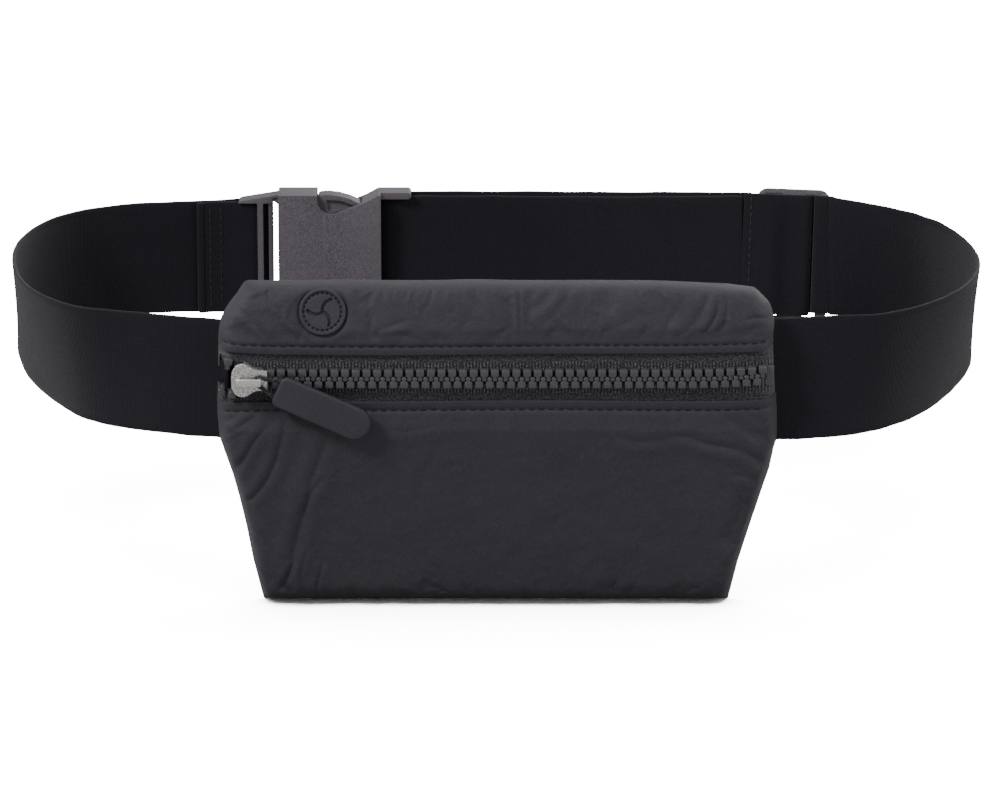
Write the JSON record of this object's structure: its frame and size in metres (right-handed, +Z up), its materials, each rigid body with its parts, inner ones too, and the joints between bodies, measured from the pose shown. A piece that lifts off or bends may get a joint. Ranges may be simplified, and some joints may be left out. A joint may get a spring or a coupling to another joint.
{
  "type": "waist pack",
  "caption": "Flat zipped waist pouch on a wide elastic belt, with a rubber earphone port, a side-release buckle and a sliding strap adjuster.",
  "frame": {"origin": "middle of the waist opening, at half the belt's width", "axes": "+X towards the wearer's left, +Y from the pouch to the small of the back, +Z up"},
  "size_m": [0.4203, 0.226, 0.1395],
  "materials": {
    "pouch_nylon": "charcoal crinkled nylon with a faint sheen",
    "binding": "black woven binding tape",
    "zip_tape": "black herringbone zip tape",
    "zip_resin": "dark grey moulded resin, satin",
    "slider_metal": "die-cast, tumbled silver plating",
    "cord": "thin black braided cord",
    "soft_rubber": "matte soft-touch rubber",
    "elastic": "black knitted elastic with fine cross ribs",
    "buckle_plastic": "dark grey acetal with a fine moulded texture"
  },
  "bodies": {
    "root": {"back_panel": "pouch_nylon", "front_panel_lower": "pouch_nylon", "front_panel_upper": "pouch_nylon", "seam_binding_left": "binding", "seam_binding_right": "binding", "seam_binding_bottom": "binding", "zip_tape_upper": "zip_tape", "zip_tape_lower": "zip_tape", "zip_teeth_upper": "zip_resin", "zip_teeth_lower": "zip_resin", "zip_top_stops": "zip_resin", "zip_bottom_stop": "zip_resin", "earphone_port": "soft_rubber", "port_backing": "binding", "belt_left": "elastic", "belt_left_hem": "elastic", "belt_right": "elastic", "belt_outer_layer": "elastic", "belt_inner_layer": "elastic", "buckle_female": "buckle_plastic"},
    "slider": {"slider_body": "slider_metal", "slider_bail": "slider_metal"},
    "pull_loop": {"pull_cord": "cord"},
    "tab": {"pull_tab": "soft_rubber"},
    "male_half": {"buckle_male": "buckle_plastic"},
    "upper_arm": {"latch_arm_upper": "buckle_plastic"},
    "lower_arm": {"latch_arm_lower": "buckle_plastic"},
    "adjuster": {"strap_adjuster": "buckle_plastic", "belt_weave": "elastic", "belt_end_loop": "elastic"}
  },
  "joints": [
    {"name": "zip_slide", "type": "slide", "parent": "root", "child": "slider", "axis": [1, 0, 0], "range_m": [0, 0.2], "deforming": ["zip_teeth_upper", "zip_teeth_lower"]},
    {"name": "pull_swivel", "type": "hinge", "parent": "slider", "child": "pull_loop", "pos_m": [-0.0983, -0.1199, 0.0046], "axis": [0, 1, 0], "range_deg": [-125, 75]},
    {"name": "tab_flip", "type": "hinge", "parent": "pull_loop", "child": "tab", "pos_m": [-0.09102, -0.1199, 0.00128], "axis": [-0.4147, 0, -0.91], "range_deg": [0, 110], "deforming": ["pull_cord"]},
    {"name": "buckle_release", "type": "slide", "parent": "root", "child": "male_half", "axis": [-1, 0, 0], "range_m": [0, 0.042], "deforming": ["belt_left_hem", "latch_arm_upper", "latch_arm_lower"]},
    {"name": "latch_press_upper", "type": "hinge", "parent": "male_half", "child": "upper_arm", "pos_m": [-0.097, 0.0915, 0.0226], "axis": [0, 1, 0], "range_deg": [0, 9], "stiffness_Nm_per_rad": 0.02},
    {"name": "latch_press_lower", "type": "hinge", "parent": "male_half", "child": "lower_arm", "pos_m": [-0.097, 0.0915, -0.0266], "axis": [0, -1, 0], "range_deg": [0, 9], "stiffness_Nm_per_rad": 0.02},
    {"name": "adjuster_slide", "type": "slide", "parent": "root", "child": "adjuster", "axis": [-1, 0, 0], "range_m": [0, 0.08], "deforming": ["belt_outer_layer", "belt_inner_layer"]}
  ]
}
